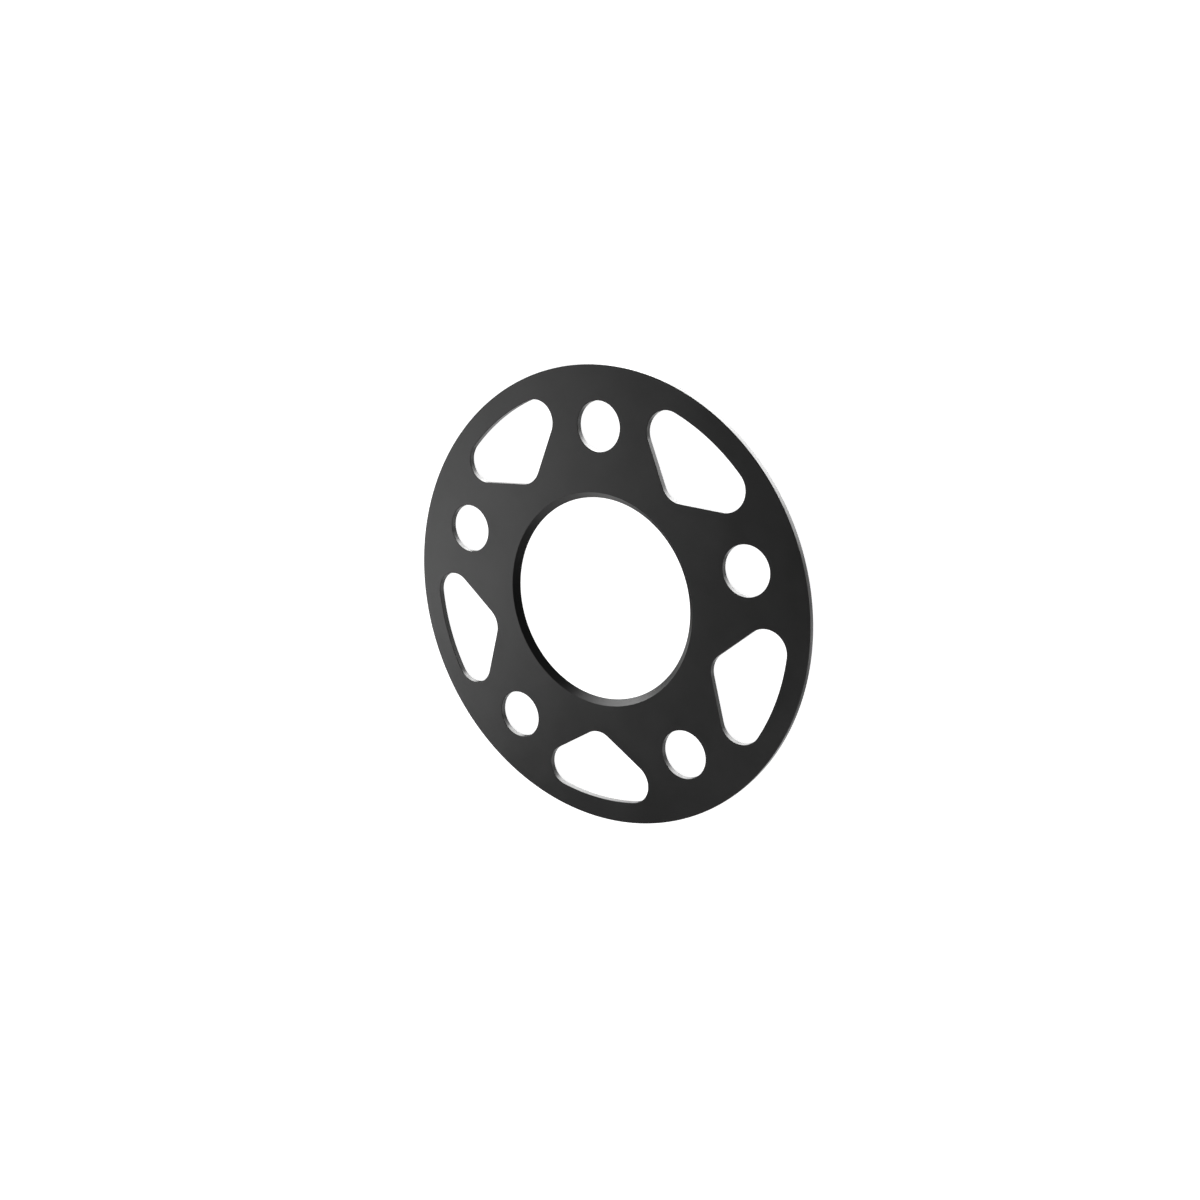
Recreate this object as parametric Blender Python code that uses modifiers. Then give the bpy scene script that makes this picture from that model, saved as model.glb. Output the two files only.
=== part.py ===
"""Flat slip-on wheel spacer for a five-stud hub.

One plate of black anodised aluminium, in metres, lying on its plain back face with +Z up.
The origin is the centre of the hub bore on the back face, and one stud hole lies on +Y.
"""
import math

import bmesh
import bpy
from mathutils import Matrix, Vector

MM = 0.001

# Driving dimensions of the plate
OUTER_DIAMETER = 150.0 * MM
THICKNESS = 2.0 * MM
RIM_EDGE_BREAK = 0.15 * MM

# Driving dimensions of the hub bore: a short land at the back, then a cone that opens to the front
HUB_BORE_DIAMETER = 66.45 * MM
HUB_BORE_LAND = 0.1 * MM
HUB_CHAMFER_ANGLE = math.radians(45.0)

# Driving dimensions of the stud holes
STUD_COUNT = 5
BOLT_CIRCLE_DIAMETER = 112.0 * MM
STUD_HOLE_DIAMETER = 16.0 * MM
FIRST_STUD_ANGLE = math.radians(90.0)

# Driving dimensions of the lightening windows, given as the metal that they leave
RIM_WIDTH = 7.0 * MM
HUB_RING_WIDTH = 9.5 * MM
STUD_WEB = 8.0 * MM
WINDOW_CORNER_RADIUS = 7.0 * MM

# How far a flat facet may lie inside the round wall that it stands for
FACET_DEPTH = 0.006 * MM
WELD_DISTANCE = 0.001 * MM
SHARP_ANGLE = math.radians(30.0)

# Each cutter stands out of both faces by this much
CUTTER_OVERRUN = 2.0 * MM

# Anodised aluminium: a dark, satin metal
ANODISED_COLOUR = (0.040, 0.040, 0.040, 1.0)
ANODISED_METALLIC = 1.0
ANODISED_ROUGHNESS = 0.32

# Sizes that follow from the driving dimensions
OUTER_RADIUS = OUTER_DIAMETER / 2
HUB_BORE_RADIUS = HUB_BORE_DIAMETER / 2
HUB_OPENING_RADIUS = HUB_BORE_RADIUS + (THICKNESS - HUB_BORE_LAND) * math.tan(HUB_CHAMFER_ANGLE)
BOLT_CIRCLE_RADIUS = BOLT_CIRCLE_DIAMETER / 2
STUD_HOLE_RADIUS = STUD_HOLE_DIAMETER / 2
STUD_PITCH = math.tau / STUD_COUNT
CUTTER_LENGTH = THICKNESS + 2 * CUTTER_OVERRUN


def clear_scene():
    for old in list(bpy.data.objects):
        bpy.data.objects.remove(old, do_unlink=True)


def new_collection(name):
    collection = bpy.data.collections.new(name)
    bpy.context.scene.collection.children.link(collection)
    return collection


def move_to(collection, obj):
    for old in list(obj.users_collection):
        old.objects.unlink(obj)
    collection.objects.link(obj)


def anodised_aluminium():
    material = bpy.data.materials.new("black_anodised_aluminium")
    material.use_nodes = True
    shader = material.node_tree.nodes["Principled BSDF"]
    shader.inputs["Base Color"].default_value = ANODISED_COLOUR
    shader.inputs["Metallic"].default_value = ANODISED_METALLIC
    shader.inputs["Roughness"].default_value = ANODISED_ROUGHNESS
    return material


def shade(mesh):
    mesh.shade_smooth()
    mesh.set_sharp_from_angle(angle=SHARP_ANGLE)


def evaluated_mesh(obj):
    bpy.context.view_layer.update()
    depsgraph = bpy.context.evaluated_depsgraph_get()
    return bpy.data.meshes.new_from_object(obj.evaluated_get(depsgraph))


# The angle of one facet that keeps FACET_DEPTH on an arc of this radius
def facet_angle(radius):
    return 2 * math.acos(1 - FACET_DEPTH / radius)


# Facets in a full circle: a multiple of four, so that it reaches its full radius on both axes
def circle_steps(radius):
    return 4 * math.ceil(math.tau / facet_angle(radius) / 4)


# The plate is a turned ring: this section, swept once round the hub axis
def ring_section():
    return [
        (OUTER_RADIUS - RIM_EDGE_BREAK, THICKNESS),
        (OUTER_RADIUS, THICKNESS - RIM_EDGE_BREAK),
        (OUTER_RADIUS, RIM_EDGE_BREAK),
        (OUTER_RADIUS - RIM_EDGE_BREAK, 0.0),
        (HUB_BORE_RADIUS, 0.0),
        (HUB_BORE_RADIUS, HUB_BORE_LAND),
        (HUB_OPENING_RADIUS, THICKNESS),
    ]


def turned_ring(collection):
    section = bmesh.new()
    corners = [section.verts.new((radius, 0.0, height)) for radius, height in ring_section()]
    for corner, following in zip(corners, corners[1:] + corners[:1]):
        section.edges.new((corner, following))
    mesh = bpy.data.meshes.new("spacer_plate")
    section.to_mesh(mesh)
    section.free()
    mesh.materials.append(anodised_aluminium())
    plate = bpy.data.objects.new("spacer_plate", mesh)
    collection.objects.link(plate)
    sweep = plate.modifiers.new("turn", "SCREW")
    sweep.steps = circle_steps(OUTER_RADIUS)
    sweep.render_steps = sweep.steps
    sweep.use_merge_vertices = True
    sweep.merge_threshold = WELD_DISTANCE
    return plate


# A cutter is made pointing along +X, halfway up the plate, and then turned to its place
def place_cutter(cutter, collection, angle):
    move_to(collection, cutter)
    cutter.location.z = THICKNESS / 2
    bpy.context.view_layer.update()
    cutter.matrix_world = Matrix.Rotation(angle, 4, "Z") @ cutter.matrix_world
    cutter.hide_render = True
    cutter.display_type = "WIRE"


def stud_angle(index):
    return FIRST_STUD_ANGLE + index * STUD_PITCH


def window_angle(index):
    return stud_angle(index) + STUD_PITCH / 2


def stud_drill(collection, index):
    bpy.ops.mesh.primitive_cylinder_add(
        vertices=circle_steps(STUD_HOLE_RADIUS),
        radius=STUD_HOLE_RADIUS,
        depth=CUTTER_LENGTH,
        location=(BOLT_CIRCLE_RADIUS, 0.0, 0.0),
    )
    drill = bpy.context.active_object
    drill.name = f"stud_drill_{index + 1}"
    place_cutter(drill, collection, stud_angle(index))


# Points along an arc, from one angle to the other, both ends included
def arc_points(centre, radius, start, end):
    count = math.ceil(abs(end - start) / facet_angle(radius))
    angles = [start + (end - start) * step / count for step in range(count + 1)]
    return [centre + radius * Vector((math.cos(angle), math.sin(angle))) for angle in angles]


def window_outline():
    """Outline of a window that points along +X, from its tip round to its tip.

    A straight side touches the rounded tip, which points at the bore, and the round of metal kept about
    a stud hole. An outer corner touches a side and the outer edge, which runs parallel to the rim.
    """
    hub_axis = Vector((0.0, 0.0))
    corner = WINDOW_CORNER_RADIUS
    outer_edge = OUTER_RADIUS - RIM_WIDTH
    tip_centre = Vector((HUB_OPENING_RADIUS + HUB_RING_WIDTH + corner, 0.0))
    half_pitch = STUD_PITCH / 2
    stud = BOLT_CIRCLE_RADIUS * Vector((math.cos(half_pitch), math.sin(half_pitch)))

    # The side passes between the tip's round and the stud's round, and touches both
    to_stud = stud - tip_centre
    clearance = corner + STUD_HOLE_RADIUS + STUD_WEB
    side_angle = math.atan2(to_stud.y, to_stud.x) - math.asin(clearance / to_stud.length)
    side = Vector((math.cos(side_angle), math.sin(side_angle)))

    # The corner's centre lies where the side's parallel through the tip's centre is a corner radius
    # inside the outer edge
    along = tip_centre.dot(side)
    reach = outer_edge - corner
    travel = math.sqrt(along ** 2 + reach ** 2 - tip_centre.length_squared) - along
    corner_centre = tip_centre + travel * side
    corner_bearing = math.atan2(corner_centre.y, corner_centre.x)

    half = arc_points(tip_centre, corner, math.pi, side_angle + math.pi / 2)
    half += arc_points(corner_centre, corner, side_angle + math.pi / 2, corner_bearing)
    half += arc_points(hub_axis, outer_edge, corner_bearing, 0.0)[1:]
    mirrored = [Vector((point.x, -point.y)) for point in reversed(half[1:-1])]
    return half + mirrored


# A flat curve is drawn from the outline and given the cutter's depth
def window_curve():
    curve = bpy.data.curves.new("window_outline", "CURVE")
    curve.dimensions = "2D"
    curve.fill_mode = "BOTH"
    curve.extrude = CUTTER_LENGTH / 2
    spline = curve.splines.new("POLY")
    points = window_outline()
    spline.points.add(len(points) - 1)
    for target, point in zip(spline.points, points):
        target.co = (point.x, point.y, 0.0, 1.0)
    spline.use_cyclic_u = True
    return curve


# The curve becomes a closed mesh, its caps welded to its wall, because a curve can't cut
def window_cutter_mesh():
    curve = window_curve()
    drawn = bpy.data.objects.new("window_outline", curve)
    bpy.context.scene.collection.objects.link(drawn)
    mesh = evaluated_mesh(drawn)
    bpy.data.objects.remove(drawn, do_unlink=True)
    bpy.data.curves.remove(curve)
    mesh.name = "window_cutter"
    shape = bmesh.new()
    shape.from_mesh(mesh)
    bmesh.ops.remove_doubles(shape, verts=shape.verts, dist=WELD_DISTANCE)
    bmesh.ops.recalc_face_normals(shape, faces=shape.faces)
    shape.to_mesh(mesh)
    shape.free()
    return mesh


def window_cutter(collection, mesh, index):
    cutter = bpy.data.objects.new(f"window_cutter_{index + 1}", mesh)
    place_cutter(cutter, collection, window_angle(index))


# The cut plate is kept as a plain mesh, so that its sharp edges can be marked after the cut
def cut_away(plate, cutters):
    cut = plate.modifiers.new("stud_holes_and_windows", "BOOLEAN")
    cut.operation = "DIFFERENCE"
    cut.solver = "EXACT"
    cut.operand_type = "COLLECTION"
    cut.collection = cutters
    finished = evaluated_mesh(plate)
    finished.name = plate.name
    plate.modifiers.clear()
    plate.data = finished
    shade(finished)


def build():
    clear_scene()
    parts = new_collection("wheel_spacer")
    cutters = new_collection("spacer_cutters")
    plate = turned_ring(parts)
    window_mesh = window_cutter_mesh()
    for index in range(STUD_COUNT):
        stud_drill(cutters, index)
        window_cutter(cutters, window_mesh, index)
    cut_away(plate, cutters)


build()
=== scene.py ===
# %% [markdown]
# # A flat wheel spacer in black anodised aluminium
#
# The object is one thin plate that slips over the studs of a car wheel hub. It is a ring with a chamfered hub
# bore, five stud holes and five rounded windows that save weight. This lesson draws the plate by rule with
# Geometry Nodes, gives it its anodised finish, and sets it under soft studio light.

# %% Load the frame
import math

import bmesh
import bpy
from mathutils import Matrix, Vector


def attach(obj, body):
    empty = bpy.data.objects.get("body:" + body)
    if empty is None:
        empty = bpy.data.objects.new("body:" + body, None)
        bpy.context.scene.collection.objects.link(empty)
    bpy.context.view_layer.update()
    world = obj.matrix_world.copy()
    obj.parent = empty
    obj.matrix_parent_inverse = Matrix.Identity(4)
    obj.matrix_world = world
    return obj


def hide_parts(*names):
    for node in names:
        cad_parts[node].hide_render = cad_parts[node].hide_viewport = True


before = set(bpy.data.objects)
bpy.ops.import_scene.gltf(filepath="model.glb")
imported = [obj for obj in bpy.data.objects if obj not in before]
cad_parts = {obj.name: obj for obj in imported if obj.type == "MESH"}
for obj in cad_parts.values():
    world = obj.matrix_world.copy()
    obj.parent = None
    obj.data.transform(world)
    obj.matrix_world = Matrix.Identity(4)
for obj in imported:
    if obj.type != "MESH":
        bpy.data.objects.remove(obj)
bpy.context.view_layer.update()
MM = 0.001

# %% [markdown]
# ## The camera
#
# In the photograph the plate stands on its rim, seen from 35 degrees to its right and 15 degrees above its
# axis. A thin plate can't stand by itself, so here it lies on its plain back face. The camera keeps the same
# view of it: the view is worked out with the plate upright, X to the right and Z towards the viewer, and the
# same directions then hold for the plate that lies down. That is why the camera looks down and is rolled.

# %% Camera
VIEW_YAW = math.radians(35.0)
VIEW_PITCH = math.radians(15.0)
VIEW_DISTANCE = 427.39 * MM
AIM_POINT = Vector((0.677, 0.393, 2.0)) * MM
LENS = 40.0
SENSOR_WIDTH = 36.0
NEAREST_SEEN = 0.01
FARTHEST_SEEN = 50.0

to_camera = Vector((
    math.sin(VIEW_YAW) * math.cos(VIEW_PITCH),
    math.sin(VIEW_PITCH),
    math.cos(VIEW_YAW) * math.cos(VIEW_PITCH),
))
image_right = Vector((math.cos(VIEW_YAW), 0.0, -math.sin(VIEW_YAW)))
image_up = to_camera.cross(image_right)

camera_data = bpy.data.cameras.new("photo_camera")
camera_data.lens = LENS
camera_data.sensor_width = SENSOR_WIDTH
camera_data.clip_start = NEAREST_SEEN
camera_data.clip_end = FARTHEST_SEEN
camera = bpy.data.objects.new("photo_camera", camera_data)
axes = Matrix((image_right, image_up, to_camera)).transposed().to_4x4()
camera.matrix_world = Matrix.Translation(AIM_POINT + VIEW_DISTANCE * to_camera) @ axes
bpy.context.scene.collection.objects.link(camera)
bpy.context.scene.camera = camera
print("Camera height in mm:", round(camera.matrix_world.translation.z / MM, 1))

# %% [markdown]
# ## The sizes of the plate
#
# The sizes are those of the CAD model. Three more are the small rounds that deburring leaves on each edge.
# They are too small to see one by one, but they catch a thin line of light where a bare edge would look cut
# from paper.

# %% Sizes
OUTER_RADIUS = 75.0 * MM
THICKNESS = 2.0 * MM
HUB_BORE_RADIUS = 33.225 * MM
HUB_BORE_LAND = 0.1 * MM
HUB_CHAMFER_ANGLE = math.radians(45.0)
HUB_OPENING_RADIUS = HUB_BORE_RADIUS + (THICKNESS - HUB_BORE_LAND) * math.tan(HUB_CHAMFER_ANGLE)
STUD_COUNT = 5
BOLT_CIRCLE_RADIUS = 56.0 * MM
STUD_HOLE_RADIUS = 8.0 * MM
FIRST_STUD_ANGLE = math.radians(90.0)
RIM_WIDTH = 7.0 * MM
HUB_RING_WIDTH = 9.5 * MM
STUD_WEB = 8.0 * MM
WINDOW_CORNER_RADIUS = 7.0 * MM

RIM_ROUND = 0.15 * MM
OPENING_ROUND = 0.12 * MM
BORE_ROUND = 0.05 * MM
print("Bore in mm, behind and in front:", [round(2.0 * radius / MM, 2)
                                           for radius in (HUB_BORE_RADIUS, HUB_OPENING_RADIUS)])

# %% [markdown]
# ## Where the windows' arcs lie
#
# A window is a three-cornered opening between two stud holes. Its outer edge runs parallel to the rim. Its
# two straight sides keep a web of even width round the stud holes, and its three corners share one radius. So
# every straight side touches two circles, and a little geometry gives the centre and the reach of each arc.

# %% Window layout
half_pitch = math.pi / STUD_COUNT
window_edge_radius = OUTER_RADIUS - RIM_WIDTH
tip_centre = Vector((HUB_OPENING_RADIUS + HUB_RING_WIDTH + WINDOW_CORNER_RADIUS, 0.0))
stud_centre = BOLT_CIRCLE_RADIUS * Vector((math.cos(half_pitch), math.sin(half_pitch)))

# The side's line touches the tip's round on one side, and the metal kept round the stud hole on the other
tip_to_stud = stud_centre - tip_centre
clearance = WINDOW_CORNER_RADIUS + STUD_HOLE_RADIUS + STUD_WEB
side_angle = math.atan2(tip_to_stud.y, tip_to_stud.x) - math.asin(clearance / tip_to_stud.length)

# The corner's centre is where the side's parallel meets a circle one corner radius inside the outer edge
side = Vector((math.cos(side_angle), math.sin(side_angle)))
along = tip_centre.dot(side)
reach = window_edge_radius - WINDOW_CORNER_RADIUS
travel = math.sqrt(along ** 2 + reach ** 2 - tip_centre.length_squared) - along
corner_centre = tip_centre + travel * side
corner_bearing = math.atan2(corner_centre.y, corner_centre.x)
print("Window corner centre in mm:", [round(part / MM, 3) for part in corner_centre],
      "side angle:", round(math.degrees(side_angle), 2))

# %% [markdown]
# ## A bench for node trees
#
# The plate follows rules, such as five alike openings on a circle and one section along each edge, so
# Geometry Nodes suit it. These helpers add a node, set its options and feed its sockets. The tree's named
# inputs come next.

# %% Node helpers
def add_node(tree, kind, options=None, feeds=None):
    """Adds a node, sets its options, and feeds its sockets with values or with other nodes' outputs."""
    node = tree.nodes.new(kind)
    node.location.x = 200 * len(tree.nodes)
    for option, value in (options or {}).items():
        setattr(node, option, value)
    for socket, value in (feeds or {}).items():
        if isinstance(value, bpy.types.NodeSocket):
            tree.links.new(value, node.inputs[socket])
        else:
            node.inputs[socket].default_value = value
    return node


def maths(tree, operation, first, second=0.0):
    return add_node(tree, "ShaderNodeMath", {"operation": operation}, {0: first, 1: second}).outputs[0]


def vector(tree, x=0.0, y=0.0, z=0.0):
    return add_node(tree, "ShaderNodeCombineXYZ", feeds={"X": x, "Y": y, "Z": z}).outputs[0]


def joined(tree, *geometries):
    join = add_node(tree, "GeometryNodeJoinGeometry")
    for geometry in geometries:
        tree.links.new(geometry, join.inputs[0])
    return join.outputs[0]


# %% Tree with named inputs
PLATE_INPUTS = {
    "Outer Radius": OUTER_RADIUS,
    "Thickness": THICKNESS,
    "Hub Bore Radius": HUB_BORE_RADIUS,
    "Hub Bore Land": HUB_BORE_LAND,
    "Hub Opening Radius": HUB_OPENING_RADIUS,
    "Bolt Circle Radius": BOLT_CIRCLE_RADIUS,
    "Stud Hole Radius": STUD_HOLE_RADIUS,
    "First Stud Angle": FIRST_STUD_ANGLE,
    "Window Corner Radius": WINDOW_CORNER_RADIUS,
    "Window Edge Radius": window_edge_radius,
    "Window Tip Centre": tip_centre.x,
    "Window Corner Centre X": corner_centre.x,
    "Window Corner Centre Y": corner_centre.y,
    "Window Corner Bearing": corner_bearing,
    "Window Side Angle": side_angle,
    "Rim Round": RIM_ROUND,
    "Opening Round": OPENING_ROUND,
    "Bore Round": BORE_ROUND,
}

plate_tree = bpy.data.node_groups.new("spacer_plate_tree", "GeometryNodeTree")
plate_tree.interface.new_socket("Plate", in_out="OUTPUT", socket_type="NodeSocketGeometry")
plate_tree.interface.new_socket("Free Floor", in_out="OUTPUT", socket_type="NodeSocketGeometry")
for input_name in PLATE_INPUTS:
    plate_tree.interface.new_socket(input_name, in_out="INPUT", socket_type="NodeSocketFloat")
plate_tree.interface.new_socket("Stud Count", in_out="INPUT", socket_type="NodeSocketInt")
plate_tree.interface.new_socket("Finish", in_out="INPUT", socket_type="NodeSocketMaterial")
size = plate_tree.nodes.new("NodeGroupInput").outputs
print("Named inputs of the plate's tree:", len(size) - 1)

# %% [markdown]
# ## Sections with rounded corners
#
# Each edge of the plate is one small section, carried along one outline. A section is a run of corners,
# given as a height and a distance into the metal. Fillet Curve then rounds each corner. The section's first
# and last stretch lie in the two faces, so the rounds run out into flat metal.

# %% Sections
ROUND_STEPS = 5
ROUNDS_IN_A_STRETCH = 2.0


def rounded_section(tree, corners, radius):
    """A run of corners as (height, distance into the metal), with each corner between the ends rounded."""
    line = add_node(tree, "GeometryNodeCurvePrimitiveLine")
    run = add_node(tree, "GeometryNodeResampleCurve", feeds={"Curve": line.outputs[0], "Count": len(corners)})
    place = add_node(tree, "GeometryNodeIndexSwitch", {"data_type": "VECTOR"})
    for _ in corners[2:]:
        place.index_switch_items.new()
    tree.links.new(add_node(tree, "GeometryNodeInputIndex").outputs[0], place.inputs["Index"])
    for number, (height, depth) in enumerate(corners):
        downwards = maths(tree, "MULTIPLY", height, -1.0)
        tree.links.new(vector(tree, depth, downwards), place.inputs[str(number)])
    bent = add_node(tree, "GeometryNodeSetPosition", feeds={
        "Geometry": run.outputs[0], "Position": place.outputs[0],
    })
    return add_node(tree, "GeometryNodeFilletCurve", {"mode": "POLY"}, {
        "Curve": bent.outputs[0], "Radius": radius, "Count": ROUND_STEPS,
    }).outputs[0]


def straight_wall_section(tree, round_size):
    flat = maths(tree, "MULTIPLY", round_size, ROUNDS_IN_A_STRETCH)
    return rounded_section(tree, [
        (0.0, flat),
        (0.0, 0.0),
        (size["Thickness"], 0.0),
        (size["Thickness"], flat),
    ], round_size)


def bore_section(tree):
    cone_reach = maths(tree, "SUBTRACT", size["Hub Opening Radius"], size["Hub Bore Radius"])
    flat = maths(tree, "MULTIPLY", size["Bore Round"], ROUNDS_IN_A_STRETCH)
    return rounded_section(tree, [
        (0.0, flat),
        (0.0, 0.0),
        (size["Hub Bore Land"], 0.0),
        (size["Thickness"], cone_reach),
        (size["Thickness"], maths(tree, "ADD", cone_reach, flat)),
    ], size["Bore Round"])


# %% [markdown]
# ## Outlines
#
# The rim, the hub bore and the stud holes are circles. A window's outline is drawn as loose arcs: its tip, a
# corner and the mirror image of it, and the outer edge. Their points are then strung together in the order of
# their bearing from the middle of the window, and the gaps between the arcs become the straight sides.

# %% Outlines
RIM_STEPS = 512
BORE_STEPS = 256
STUD_HOLE_STEPS = 96
CORNER_STEPS = 36
TIP_STEPS = 20
WINDOW_EDGE_STEPS = 26
WELD_DISTANCE = 0.001 * MM


def circle(tree, radius, steps):
    return add_node(tree, "GeometryNodeCurvePrimitiveCircle", feeds={
        "Resolution": steps, "Radius": radius,
    }).outputs[0]


def moved(tree, geometry, offset, scale=(1.0, 1.0, 1.0)):
    return add_node(tree, "GeometryNodeTransform", feeds={
        "Geometry": geometry, "Translation": offset, "Scale": scale,
    }).outputs[0]


def arc(tree, centre, radius, start, sweep, steps):
    drawn = add_node(tree, "GeometryNodeCurveArc", {"mode": "RADIUS"}, {
        "Resolution": steps, "Radius": radius, "Start Angle": start, "Sweep Angle": sweep,
    })
    return moved(tree, drawn.outputs[0], centre)


def window_arcs(tree):
    radius = size["Window Corner Radius"]
    tip_middle = vector(tree, size["Window Tip Centre"])
    corner_middle = vector(tree, size["Window Corner Centre X"], size["Window Corner Centre Y"])
    touch = maths(tree, "ADD", size["Window Side Angle"], math.pi / 2)
    tip_sweep = maths(tree, "MULTIPLY", maths(tree, "SUBTRACT", math.pi, touch), 2.0)
    corner_sweep = maths(tree, "SUBTRACT", touch, size["Window Corner Bearing"])
    edge_start = maths(tree, "MULTIPLY", size["Window Corner Bearing"], -1.0)
    edge_sweep = maths(tree, "MULTIPLY", size["Window Corner Bearing"], 2.0)
    tip = arc(tree, tip_middle, radius, touch, tip_sweep, TIP_STEPS)
    corner = arc(tree, corner_middle, radius, size["Window Corner Bearing"], corner_sweep, CORNER_STEPS)
    mirrored = moved(tree, corner, (0.0, 0.0, 0.0), (1.0, -1.0, 1.0))
    edge_radius = size["Window Edge Radius"]
    outer_edge = arc(tree, (0.0, 0.0, 0.0), edge_radius, edge_start, edge_sweep, WINDOW_EDGE_STEPS)
    return joined(tree, tip, corner, mirrored, outer_edge)


def position(tree):
    """The place of each point, as three numbers."""
    where = add_node(tree, "GeometryNodeInputPosition").outputs[0]
    return add_node(tree, "ShaderNodeSeparateXYZ", feeds={0: where}).outputs


def window_outline(tree):
    points = add_node(tree, "GeometryNodeCurveToPoints", {"mode": "EVALUATED"}, {"Curve": window_arcs(tree)})
    single = add_node(tree, "GeometryNodeMergeByDistance", feeds={
        "Geometry": points.outputs[0], "Distance": WELD_DISTANCE,
    })
    place = position(tree)
    from_middle = maths(tree, "SUBTRACT", place["X"], size["Window Corner Centre X"])
    bearing = maths(tree, "ARCTAN2", place["Y"], from_middle)
    strung = add_node(tree, "GeometryNodePointsToCurves", feeds={
        "Points": single.outputs[0], "Weight": bearing,
    })
    return add_node(tree, "GeometryNodeSetSplineCyclic", feeds={
        "Geometry": strung.outputs[0], "Cyclic": True,
    }).outputs[0]


# %% [markdown]
# ## Walls, and five of each round the hub
#
# Curve to Mesh carries a section along its outline. On a flat outline that runs anticlockwise, with its
# normals set to Z Up, a section's X points to the right, which is out of the opening and into the metal, and
# its Y points down. The rim has its metal inside, so its circle runs the other way.
# One stud hole and one window are then instanced five times round the hub's axis.

# %% Walls
LEVEL = 0.999


def wall(tree, outline, section, tool):
    """The section carried along the outline. The faces that aren't level are marked with the tool's name."""
    upright = add_node(tree, "GeometryNodeSetCurveNormal", {"mode": "Z_UP"}, {"Curve": outline})
    swept = add_node(tree, "GeometryNodeCurveToMesh", feeds={
        "Curve": upright.outputs[0], "Profile Curve": section,
    })
    normal = add_node(tree, "GeometryNodeInputNormal").outputs[0]
    facing = add_node(tree, "ShaderNodeSeparateXYZ", feeds={0: normal}).outputs
    level = maths(tree, "ABSOLUTE", facing["Z"])
    return add_node(tree, "GeometryNodeStoreNamedAttribute", {"domain": "FACE"}, {
        "Geometry": swept.outputs[0], "Name": tool, "Value": maths(tree, "LESS_THAN", level, LEVEL),
    }).outputs[0]


def round_the_hub(tree, geometry, first_angle):
    index = add_node(tree, "GeometryNodeInputIndex").outputs[0]
    pitch = maths(tree, "DIVIDE", math.tau, size["Stud Count"])
    angle = maths(tree, "ADD", first_angle, maths(tree, "MULTIPLY", index, pitch))
    places = add_node(tree, "GeometryNodePoints", feeds={"Count": size["Stud Count"]})
    return add_node(tree, "GeometryNodeInstanceOnPoints", feeds={
        "Points": places.outputs[0], "Instance": geometry, "Rotation": vector(tree, z=angle),
    }).outputs[0]


def all_walls(tree):
    rim_circle = add_node(tree, "GeometryNodeReverseCurve", feeds={
        "Curve": circle(tree, size["Outer Radius"], RIM_STEPS),
    }).outputs[0]
    rim = wall(tree, rim_circle, straight_wall_section(tree, size["Rim Round"]), "milled")
    bore = wall(tree, circle(tree, size["Hub Bore Radius"], BORE_STEPS), bore_section(tree), "turned")
    opening_section = straight_wall_section(tree, size["Opening Round"])
    hole = wall(tree, circle(tree, size["Stud Hole Radius"], STUD_HOLE_STEPS), opening_section, "milled")
    hole = moved(tree, hole, vector(tree, size["Bolt Circle Radius"]))
    window = wall(tree, window_outline(tree), opening_section, "milled")
    half_turn = maths(tree, "DIVIDE", math.pi, size["Stud Count"])
    window_angle = maths(tree, "ADD", size["First Stud Angle"], half_turn)
    holes = round_the_hub(tree, hole, size["First Stud Angle"])
    windows = round_the_hub(tree, window, window_angle)
    return add_node(tree, "GeometryNodeRealizeInstances", feeds={
        "Geometry": joined(tree, rim, bore, holes, windows),
    }).outputs[0]


# %% [markdown]
# ## The two faces
#
# Each wall ends in two open loops, one in each face. A face is the sheet between its twelve loops: Fill Curve
# fills inside the rim's loop and leaves out the eleven openings. It works at height zero, so the sheet is
# lifted to its place, and the lower one is turned to face down. Merge by Distance welds sheets and walls into
# one closed skin.
# The floor is such a sheet too. It fills what the plate leaves free, round the rim and in the openings, so no
# floor lies in the plane of the plate's back, and a look from below still shows that back.

# %% Faces
FLOOR_WIDTH = 1.6
FACES_AT_A_CLOSED_EDGE = 2.0


def sheet_between(tree, walls, in_front, *borders):
    """The flat sheet between the walls' open edges in the front or the back, and any borders round them."""
    faces_at_edge = add_node(tree, "GeometryNodeInputMeshEdgeNeighbors").outputs[0]
    is_open = maths(tree, "LESS_THAN", faces_at_edge, FACES_AT_A_CLOSED_EDGE)
    middle = maths(tree, "MULTIPLY", size["Thickness"], 0.5)
    on_side = maths(tree, "GREATER_THAN" if in_front else "LESS_THAN", position(tree)["Z"], middle)
    chosen = maths(tree, "MULTIPLY", is_open, on_side)
    height = size["Thickness"] if in_front else 0.0
    loops = add_node(tree, "GeometryNodeMeshToCurve", feeds={"Mesh": walls, "Selection": chosen})
    outlines = joined(tree, loops.outputs[0], *borders)
    sheet = add_node(tree, "GeometryNodeFillCurve", {"mode": "TRIANGLES"}, {"Curve": outlines})
    return moved(tree, sheet.outputs[0], vector(tree, z=height))


def closed_plate(tree, walls):
    front = sheet_between(tree, walls, True)
    back = sheet_between(tree, walls, False)
    back = add_node(tree, "GeometryNodeFlipFaces", feeds={"Mesh": back}).outputs[0]
    skin = add_node(tree, "GeometryNodeRealizeInstances", feeds={
        "Geometry": joined(tree, walls, front, back),
    })
    welded = add_node(tree, "GeometryNodeMergeByDistance", feeds={
        "Geometry": skin.outputs[0], "Distance": WELD_DISTANCE,
    })
    smooth = add_node(tree, "GeometryNodeSetShadeSmooth", feeds={"Geometry": welded.outputs[0]})
    return add_node(tree, "GeometryNodeSetMaterial", feeds={
        "Geometry": smooth.outputs[0], "Material": size["Finish"],
    }).outputs[0]


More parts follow.
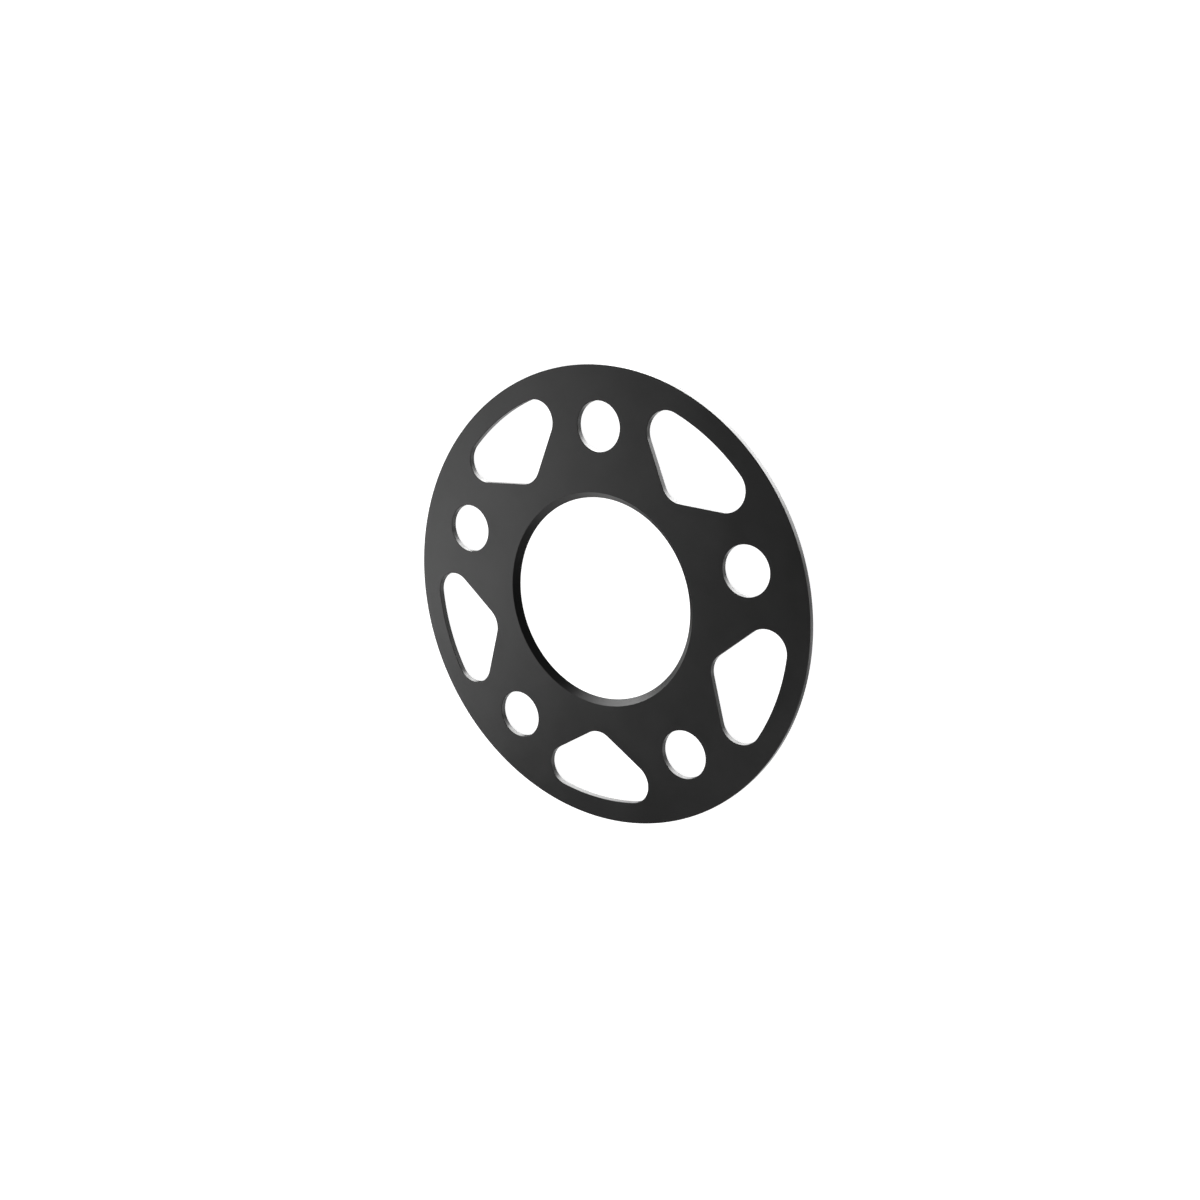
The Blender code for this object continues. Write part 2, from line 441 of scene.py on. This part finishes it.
def free_floor(tree, walls):
    border = add_node(tree, "GeometryNodeCurvePrimitiveQuadrilateral", feeds={
        "Width": FLOOR_WIDTH, "Height": FLOOR_WIDTH,
    })
    return sheet_between(tree, walls, False, border.outputs[0])


plate_walls = all_walls(plate_tree)
plate_output = plate_tree.nodes.new("NodeGroupOutput")
plate_tree.links.new(closed_plate(plate_tree, plate_walls), plate_output.inputs["Plate"])
plate_tree.links.new(free_floor(plate_tree, plate_walls), plate_output.inputs["Free Floor"])
print("Nodes in the plate's tree:", len(plate_tree.nodes))

# %% [markdown]
# ## The anodised finish
#
# The plate is machined, blasted with fine beads and then anodised: a dyed, clear oxide grows out of the
# metal. It has next to no colour of its own and shines like a dark, satin metal, so it is nearly all
# reflection. The faces keep the beads' fine grain, the cutter leaves faint lines along the walls of the
# openings and the rim, and the turning tool leaves finer rings in the chamfer. The tree marked the walls and
# the bore, so one material can give each surface the marks of its own tool.

# %% Finish
DYED_METAL = (0.040, 0.040, 0.040, 1.0)
SATIN_ROUGHNESS = 0.32
GRAIN_SIZE = 0.25 * MM
CUTTER_LINE_PITCH = 0.12 * MM
TOOL_RING_PITCH = 0.08 * MM
MOTTLE_SIZE = 18.0 * MM
MOTTLE_DETAIL = 3.0
MARK_DEPTH = 0.004 * MM
MARK_DETAIL = 2.0
ALONG_THE_CUT = 6.0 * MM
USUAL_NOISE = (0.3, 0.7)

anodised = bpy.data.materials.new("satin_black_anodising")
anodised.use_nodes = True
finish_tree = anodised.node_tree
shader = finish_tree.nodes["Principled BSDF"]
shader.inputs["Metallic"].default_value = 1.0
place = add_node(finish_tree, "ShaderNodeTexCoord").outputs["Object"]
spot = add_node(finish_tree, "ShaderNodeSeparateXYZ", feeds={0: place})


def noise(tree, where, feature, detail):
    """Noise between 0 and 1 whose features have this size in metres."""
    return add_node(tree, "ShaderNodeTexNoise", feeds={
        "Vector": where, "Scale": 1.0 / feature, "Detail": detail,
    }).outputs[0]


def spread(tree, value, middle, swing):
    """Noise brought from its usual range to this swing to either side of a middle."""
    return add_node(tree, "ShaderNodeMapRange", feeds={
        "Value": value, "From Min": USUAL_NOISE[0], "From Max": USUAL_NOISE[1],
        "To Min": middle - swing, "To Max": middle + swing,
    }).outputs[0]


def mixed(tree, share, first, second):
    return add_node(tree, "ShaderNodeMix", {"data_type": "FLOAT"}, {
        "Factor": share, "A": first, "B": second,
    }).outputs[0]


def mark(tree, name):
    """How far a surface belongs to a tool, as the plate's tree stored it."""
    return add_node(tree, "ShaderNodeAttribute", {"attribute_name": name}).outputs["Fac"]


# %% Marks of the tools
def lines_across(tree, height, pitch):
    """Noise that changes fast with height and slowly along the cut, as a cutter's lines do."""
    slow = pitch / ALONG_THE_CUT
    slow_x = maths(tree, "MULTIPLY", spot.outputs["X"], slow)
    slow_y = maths(tree, "MULTIPLY", spot.outputs["Y"], slow)
    return noise(tree, vector(tree, slow_x, slow_y, height), pitch, MARK_DETAIL)


from_axis = maths(finish_tree, "SQRT", maths(
    finish_tree, "ADD",
    maths(finish_tree, "POWER", spot.outputs["X"], 2.0),
    maths(finish_tree, "POWER", spot.outputs["Y"], 2.0),
))
grain = noise(finish_tree, place, GRAIN_SIZE, MARK_DETAIL)
cutter_lines = lines_across(finish_tree, spot.outputs["Z"], CUTTER_LINE_PITCH)
tool_rings = lines_across(finish_tree, from_axis, TOOL_RING_PITCH)
milled = mark(finish_tree, "milled")
turned = mark(finish_tree, "turned")
marks = mixed(finish_tree, turned, mixed(finish_tree, milled, grain, cutter_lines), tool_rings)
bump = add_node(finish_tree, "ShaderNodeBump", feeds={
    "Height": marks, "Distance": MARK_DEPTH, "Strength": 1.0,
})
finish_tree.links.new(bump.outputs[0], shader.inputs["Normal"])
print("Depth of the tools' marks in mm:", round(MARK_DEPTH / MM, 4))

# %% Tone and shine
MOTTLE_IN_TONE = 0.06
MOTTLE_IN_SHINE = 0.01
MARKS_IN_SHINE = 0.02

mottle = noise(finish_tree, place, MOTTLE_SIZE, MOTTLE_DETAIL)
tone = spread(finish_tree, mottle, 1.0, MOTTLE_IN_TONE)
dye = add_node(finish_tree, "ShaderNodeVectorMath", {"operation": "SCALE"}, {
    0: DYED_METAL[:3], "Scale": tone,
}).outputs[0]
finish_tree.links.new(dye, shader.inputs["Base Color"])
shine = spread(finish_tree, mottle, SATIN_ROUGHNESS, MOTTLE_IN_SHINE)
shine = maths(finish_tree, "ADD", shine, spread(finish_tree, marks, 0.0, MARKS_IN_SHINE))
finish_tree.links.new(shine, shader.inputs["Roughness"])
print("Nodes in the finish:", len(finish_tree.nodes))

# %% [markdown]
# ## Making the plate
#
# The tree now gets its sizes: each named input is set by its socket's identifier before anything is worked
# out. Weighted Normal then lets the large flat faces decide the shading next to the small rounds, so a face
# stays flat up to its edge. The result is kept as a plain mesh, and a short test prints how many of its
# edges are open or turned over, and its volume.

# %% Make the plate
plate_mesh = bpy.data.meshes.new("anodised_plate")
plate = bpy.data.objects.new("anodised_plate", plate_mesh)
bpy.context.scene.collection.objects.link(plate)
drawn = plate.modifiers.new("plate", "NODES")
drawn.node_group = plate_tree
plate_values = dict(PLATE_INPUTS, **{"Stud Count": STUD_COUNT, "Finish": anodised})
for item in plate_tree.interface.items_tree:
    if item.in_out == "INPUT":
        drawn[item.identifier] = plate_values[item.name]
even = plate.modifiers.new("even_faces", "WEIGHTED_NORMAL")
even.keep_sharp = False

bpy.context.view_layer.update()
depsgraph = bpy.context.evaluated_depsgraph_get()
plate.data = bpy.data.meshes.new_from_object(plate.evaluated_get(depsgraph))
plate.data.name = "anodised_plate"
plate.modifiers.clear()

# Realize Instances leaves an empty first slot
plate.data.materials.pop(index=0)

check = bmesh.new()
check.from_mesh(plate.data)
print("Open or shared edges:", sum(not edge.is_manifold for edge in check.edges),
      "edges turned over:", sum(not edge.is_contiguous for edge in check.edges))
print("Volume in mm3:", round(check.calc_volume(signed=True) / MM ** 3, 1), "faces:", len(check.faces))
check.free()

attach(plate, "root")
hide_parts("spacer_plate")

# %% [markdown]
# ## The floor
#
# The photograph shows white all round and no horizon. The floor is a white sheet under the plate. It glows a
# little, so that it is as white as the room and meets it without an edge.
# Black anodising shows what it mirrors, and the walls of the openings mirror what lies lower than the plate:
# in the photograph, lights behind it. A floor would stand in their way here, so this one keeps out of
# reflections and lets light through from below.

# %% Floor
floor_tree = bpy.data.node_groups.new("floor_tree", "GeometryNodeTree")
floor_tree.interface.new_socket("Floor", in_out="OUTPUT", socket_type="NodeSocketGeometry")
under_plate = add_node(floor_tree, "GeometryNodeGroup", {"node_tree": plate_tree}, plate_values)
floor_output = floor_tree.nodes.new("NodeGroupOutput")
floor_tree.links.new(under_plate.outputs["Free Floor"], floor_output.inputs["Floor"])

floor = bpy.data.objects.new("floor", bpy.data.meshes.new("floor"))
bpy.context.scene.collection.objects.link(floor)
floor.modifiers.new("free_floor", "NODES").node_group = floor_tree
bpy.context.view_layer.update()
depsgraph = bpy.context.evaluated_depsgraph_get()
floor.data = bpy.data.meshes.new_from_object(floor.evaluated_get(depsgraph))
floor.modifiers.clear()
print("Floor area in m2:", round(sum(face.area for face in floor.data.polygons), 4))

# %% Floor finish
FLOOR_WHITE = (0.8, 0.8, 0.8, 1.0)
FLOOR_ROUGHNESS = 0.9
FLOOR_GLOW = 0.80

white = bpy.data.materials.new("white_floor")
white.use_nodes = True
matt = white.node_tree.nodes["Principled BSDF"]
matt.inputs["Base Color"].default_value = FLOOR_WHITE
matt.inputs["Roughness"].default_value = FLOOR_ROUGHNESS
matt.inputs["Emission Color"].default_value = (1.0, 1.0, 1.0, 1.0)
matt.inputs["Emission Strength"].default_value = FLOOR_GLOW
floor.data.materials.clear()
floor.data.materials.append(white)
floor.visible_glossy = False
floor.visible_shadow = False
print("The floor's glow:", FLOOR_GLOW)

# %% [markdown]
# ## The studio
#
# The photograph was lit by soft boxes in a dark room, and a black plate is bright only where it mirrors one
# of them. Each box is given as it is seen from the plate: its bearing, anticlockwise from +X, its height
# above or below the floor, its half width and half height, all in degrees, and its brightness.
#
# - The first boxes light the face, which is brightest on the left.
# - The next run round the chamfer. It is bright below and nearly black on the left, where it mirrors the dark
#   side of the room.
# - Dim boxes behind the camera keep the plate readable from the other sides.
# - The rest lie below the floor and draw the bright and dark stretches on the walls of the openings and the
#   rim.

# %% Studio
BOX_DISTANCE = 2.4
SOFT_BOXES = {
    "face_low": (200, 27, 11, 9, 7.3),
    "face_high": (190, 45, 13, 8, 2.5),
    "overhead": (25, 76, 24, 12, 1.2),
    "chamfer_left": (135, 8, 18, 9, 8.1),
    "chamfer_side": (165, 8, 12, 9, 8.5),
    "chamfer_high": (120, 26, 12, 9, 2.8),
    "chamfer_low": (260, 10, 24, 9, 1.3),
    "chamfer_fill": (275, 55, 24, 12, 2.2),
    "behind_right": (312, 11, 28, 8, 1.0),
    "behind_camera": (10, 9, 30, 8, 1.2),
    "behind_left": (68, 9, 28, 8, 1.2),
    "walls_42": (42, -62, 13, 9, 5.7),
    "walls_76": (76, -46, 11, 10, 13.0),
    "walls_80": (80, -64, 18, 8, 7.3),
    "walls_97": (97, -46, 11, 10, 7.2),
    "walls_118": (118, -46, 11, 10, 9.2),
    "walls_140": (140, -46, 11, 10, 4.4),
    "walls_163": (163, -60, 14, 10, 3.0),
    "walls_180": (180, -24, 14, 9, 0.95),
    "walls_240": (240, -12, 30, 9, 1.6),
    "walls_248": (248, -58, 16, 12, 1.5),
    "walls_302": (302, -38, 12, 12, 1.35),
    "walls_326": (326, -42, 12, 12, 1.55),
    "walls_350": (350, -50, 13, 12, 1.2),
    "walls_below": (0, -80, 22, 8, 3.3),
}


def across(half_angle):
    """The width that fills twice this angle at the boxes' distance."""
    return 2.0 * BOX_DISTANCE * math.tan(math.radians(half_angle))


for box_name, (bearing, height, half_width, half_height, brightness) in SOFT_BOXES.items():
    bearing, height = math.radians(bearing), math.radians(height)
    outwards = Vector((
        math.cos(bearing) * math.cos(height),
        math.sin(bearing) * math.cos(height),
        math.sin(height),
    ))
    box_data = bpy.data.lights.new(box_name, "AREA")
    box_data.shape = "RECTANGLE"
    box_data.size = across(half_width)
    box_data.size_y = across(half_height)
    box_data.energy = brightness * math.pi * box_data.size * box_data.size_y
    box = bpy.data.objects.new(box_name, box_data)
    box.location = BOX_DISTANCE * outwards
    box.rotation_euler = outwards.to_track_quat("Z", "Y").to_euler()
    box.visible_camera = False
    bpy.context.scene.collection.objects.link(box)
print("Soft boxes:", len(SOFT_BOXES))

# %% [markdown]
# ## The room
#
# The room is dark to the plate, which keeps the black deep, and white to the camera, which keeps the
# background as white as the photograph's, also where a low view looks past the floor.

# %% Room
ROOM_DIM = 0.05
ROOM_WHITE = 1.0

world = bpy.data.worlds.new("studio_room")
bpy.context.scene.world = world
world.use_nodes = True
room = world.node_tree
backdrop = room.nodes["Background"]
backdrop.inputs["Color"].default_value = (1.0, 1.0, 1.0, 1.0)
seen = add_node(room, "ShaderNodeLightPath").outputs["Is Camera Ray"]
brighter = maths(room, "MULTIPLY", seen, ROOM_WHITE - ROOM_DIM)
room.links.new(maths(room, "ADD", brighter, ROOM_DIM), backdrop.inputs["Strength"])
bpy.context.scene.view_settings.view_transform = "Standard"
print("The room's strength, to the plate and to the camera:", ROOM_DIM, ROOM_WHITE)
